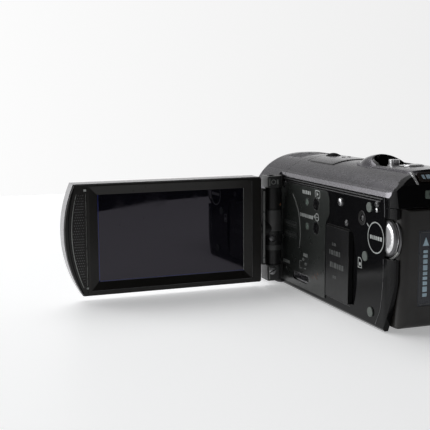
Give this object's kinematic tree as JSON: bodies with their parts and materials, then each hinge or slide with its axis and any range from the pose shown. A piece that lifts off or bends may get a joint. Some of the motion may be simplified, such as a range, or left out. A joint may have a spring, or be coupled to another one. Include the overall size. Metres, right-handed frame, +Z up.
{
  "type": "camcorder",
  "caption": "Hand-held camcorder with a side-opening swivel display, grip strap, shuttered lens, removable battery and a threaded tripod socket.",
  "frame": {"origin": "centre of the mouth of the tripod socket, in the flat base under the lens axis", "axes": "+Y forward along the lens axis, +Z up, +X towards the grip side; the display opens towards -X"},
  "size_m": [0.1698, 0.13, 0.0632],
  "materials": {
    "grey_shell": "fine metallic paint, satin",
    "black_gloss": "moulded, polished",
    "black_satin": "moulded, fine spark texture",
    "black_matte": "moulded, matte",
    "panel_grey": "fine metallic paint, satin",
    "grille": "painted, satin",
    "button_dark": "polished",
    "button_brown": "polished",
    "lamp": "translucent moulding",
    "chrome_trim": "bright plated",
    "steel": "plain",
    "hinge_metal": "satin",
    "circuit": "solder mask over glass fibre",
    "sensor": "polished",
    "optics": "coated, polished",
    "display": "polished, coated",
    "window_clear": "polished",
    "window_dark": "polished",
    "battery_case": "moulded, satin",
    "battery_sticker": "printed film",
    "gold": "plated",
    "card_blue": "moulded",
    "pad_rubber": "matte",
    "strap": "woven and padded"
  },
  "bodies": {
    "root": {"top_cover": "grey_shell", "front_cover": "grey_shell", "left_cover": "black_gloss", "right_cover": "black_satin", "bottom_cover": "black_satin", "rear_cover": "black_gloss", "bay_plate": "black_satin", "chassis": "steel", "main_board": "circuit", "sensor_board": "circuit", "image_sensor": "sensor", "lens_barrel": "black_matte", "front_lens": "optics", "lens_ring": "black_satin", "barrier_plate": "black_matte", "mic_grille": "grille", "flash_window": "window_clear", "remote_window": "window_dark", "accessory_shoe": "steel", "zoom_dish": "black_gloss", "rear_trim": "chrome_trim", "mode_lamps": "lamp", "record_ring": "chrome_trim", "dial_axle": "steel", "card_holder": "steel", "bay_socket": "steel", "bumper_pads": "pad_rubber", "body_screws": "steel", "battery_contacts": "gold", "tripod_socket": "steel", "strap_lugs": "black_satin", "grip_strap": "strap", "hinge_bracket": "hinge_metal"},
    "hinge": {"hinge_barrel": "black_satin", "tilt_shaft": "steel"},
    "panel": {"panel_shell": "panel_grey", "panel_bezel": "black_matte", "display_module": "sensor", "display_glass": "display"},
    "card_door": {"card_door": "black_satin"},
    "memory_card": {"memory_card": "card_blue"},
    "shoe_flap": {"shoe_cover": "grey_shell", "shoe_tab": "black_gloss"},
    "zoom_lever": {"zoom_lever": "chrome_trim"},
    "photo_button": {"photo_button": "button_dark"},
    "mode_button": {"mode_button": "button_brown"},
    "record_button": {"record_button": "button_dark"},
    "power_button": {"power_button": "lamp"},
    "play_button": {"play_button": "button_dark"},
    "infrared_button": {"infrared_button": "lamp"},
    "display_button": {"display_button": "button_dark"},
    "thumb_dial": {"thumb_dial": "chrome_trim"},
    "battery": {"battery": "battery_case", "battery_label": "battery_sticker"},
    "battery_latch": {"battery_latch": "black_satin"},
    "jack_cover": {"jack_cover": "black_satin"},
    "barrier_upper": {"barrier_upper": "black_matte"},
    "barrier_lower": {"barrier_lower": "black_matte"},
    "zoom_group": {"zoom_group": "optics"},
    "focus_group": {"focus_group": "optics"}
  },
  "joints": [
    {"name": "lcd_open", "type": "hinge", "parent": "root", "child": "hinge", "pos_m": [-0.0284, 0.03, 0], "axis": [0, 0, 1], "range_deg": [0, 90]},
    {"name": "lcd_tilt", "type": "hinge", "parent": "hinge", "child": "panel", "pos_m": [-0.0284, 0.03, 0.0273], "axis": [-1, 0, 0], "range_deg": [-90, 180]},
    {"name": "card_door_swing", "type": "hinge", "parent": "root", "child": "card_door", "pos_m": [-0.02255, -0.0128, 0], "axis": [0, 0, 1], "range_deg": [-100, 0]},
    {"name": "card_push", "type": "slide", "parent": "root", "child": "memory_card", "axis": [1, 0, 0], "range_m": [0, 0.0008]},
    {"name": "shoe_flap_swing", "type": "hinge", "parent": "root", "child": "shoe_flap", "pos_m": [0.01199, 0.014, 0.05735], "axis": [0, 1, 0], "range_deg": [0, 110]},
    {"name": "zoom_rock", "type": "slide", "parent": "root", "child": "zoom_lever", "axis": [1, 0, 0], "range_m": [-0.001, 0.001], "stiffness_N_per_m": 250},
    {"name": "photo_press", "type": "slide", "parent": "root", "child": "photo_button", "axis": [0, 0, -1], "range_m": [0, 0.0006], "stiffness_N_per_m": 400},
    {"name": "mode_press", "type": "slide", "parent": "root", "child": "mode_button", "axis": [0, 0.6799, -0.7333], "range_m": [0, 0.0005], "stiffness_N_per_m": 400},
    {"name": "record_press", "type": "slide", "parent": "root", "child": "record_button", "axis": [-0.5, 0.866, 0], "range_m": [0, 0.0008], "stiffness_N_per_m": 400},
    {"name": "power_press", "type": "slide", "parent": "root", "child": "power_button", "axis": [1, 0, 0], "range_m": [0, 0.0005], "stiffness_N_per_m": 400},
    {"name": "play_press", "type": "slide", "parent": "root", "child": "play_button", "axis": [1, 0, 0], "range_m": [0, 0.0005], "stiffness_N_per_m": 400},
    {"name": "infrared_press", "type": "slide", "parent": "root", "child": "infrared_button", "axis": [1, 0, 0], "range_m": [0, 0.0005], "stiffness_N_per_m": 400},
    {"name": "display_press", "type": "slide", "parent": "root", "child": "display_button", "axis": [1, 0, 0], "range_m": [0, 0.0005], "stiffness_N_per_m": 400},
    {"name": "dial_turn", "type": "hinge", "parent": "root", "child": "thumb_dial", "pos_m": [-0.022, -0.0567, 0.0354], "axis": [-1, 0, 0], "continuous": true},
    {"name": "battery_slide", "type": "slide", "parent": "root", "child": "battery", "axis": [0, 0, -1], "range_m": [0, 0.046]},
    {"name": "latch_slide", "type": "slide", "parent": "root", "child": "battery_latch", "axis": [1, 0, 0], "range_m": [0, 0.004]},
    {"name": "jack_cover_swing", "type": "hinge", "parent": "root", "child": "jack_cover", "pos_m": [0.02327, -0.01, 0.01591], "axis": [0, -1, 0], "range_deg": [0, 95]},
    {"name": "barrier_upper_open", "type": "slide", "parent": "root", "child": "barrier_upper", "axis": [0, 0, 1], "range_m": [0, 0.009]},
    {"name": "barrier_lower_open", "type": "slide", "parent": "root", "child": "barrier_lower", "axis": [0, 0, -1], "range_m": [0, 0.009]},
    {"name": "zoom_drive", "type": "slide", "parent": "root", "child": "zoom_group", "axis": [0, 1, 0], "range_m": [-0.008, 0.007]},
    {"name": "focus_drive", "type": "slide", "parent": "root", "child": "focus_group", "axis": [0, 1, 0], "range_m": [-0.003, 0.0025]}
  ],
  "couplings": [
    {"joint": "barrier_lower_open", "follows": "barrier_upper_open", "ratio": 1}
  ]
}
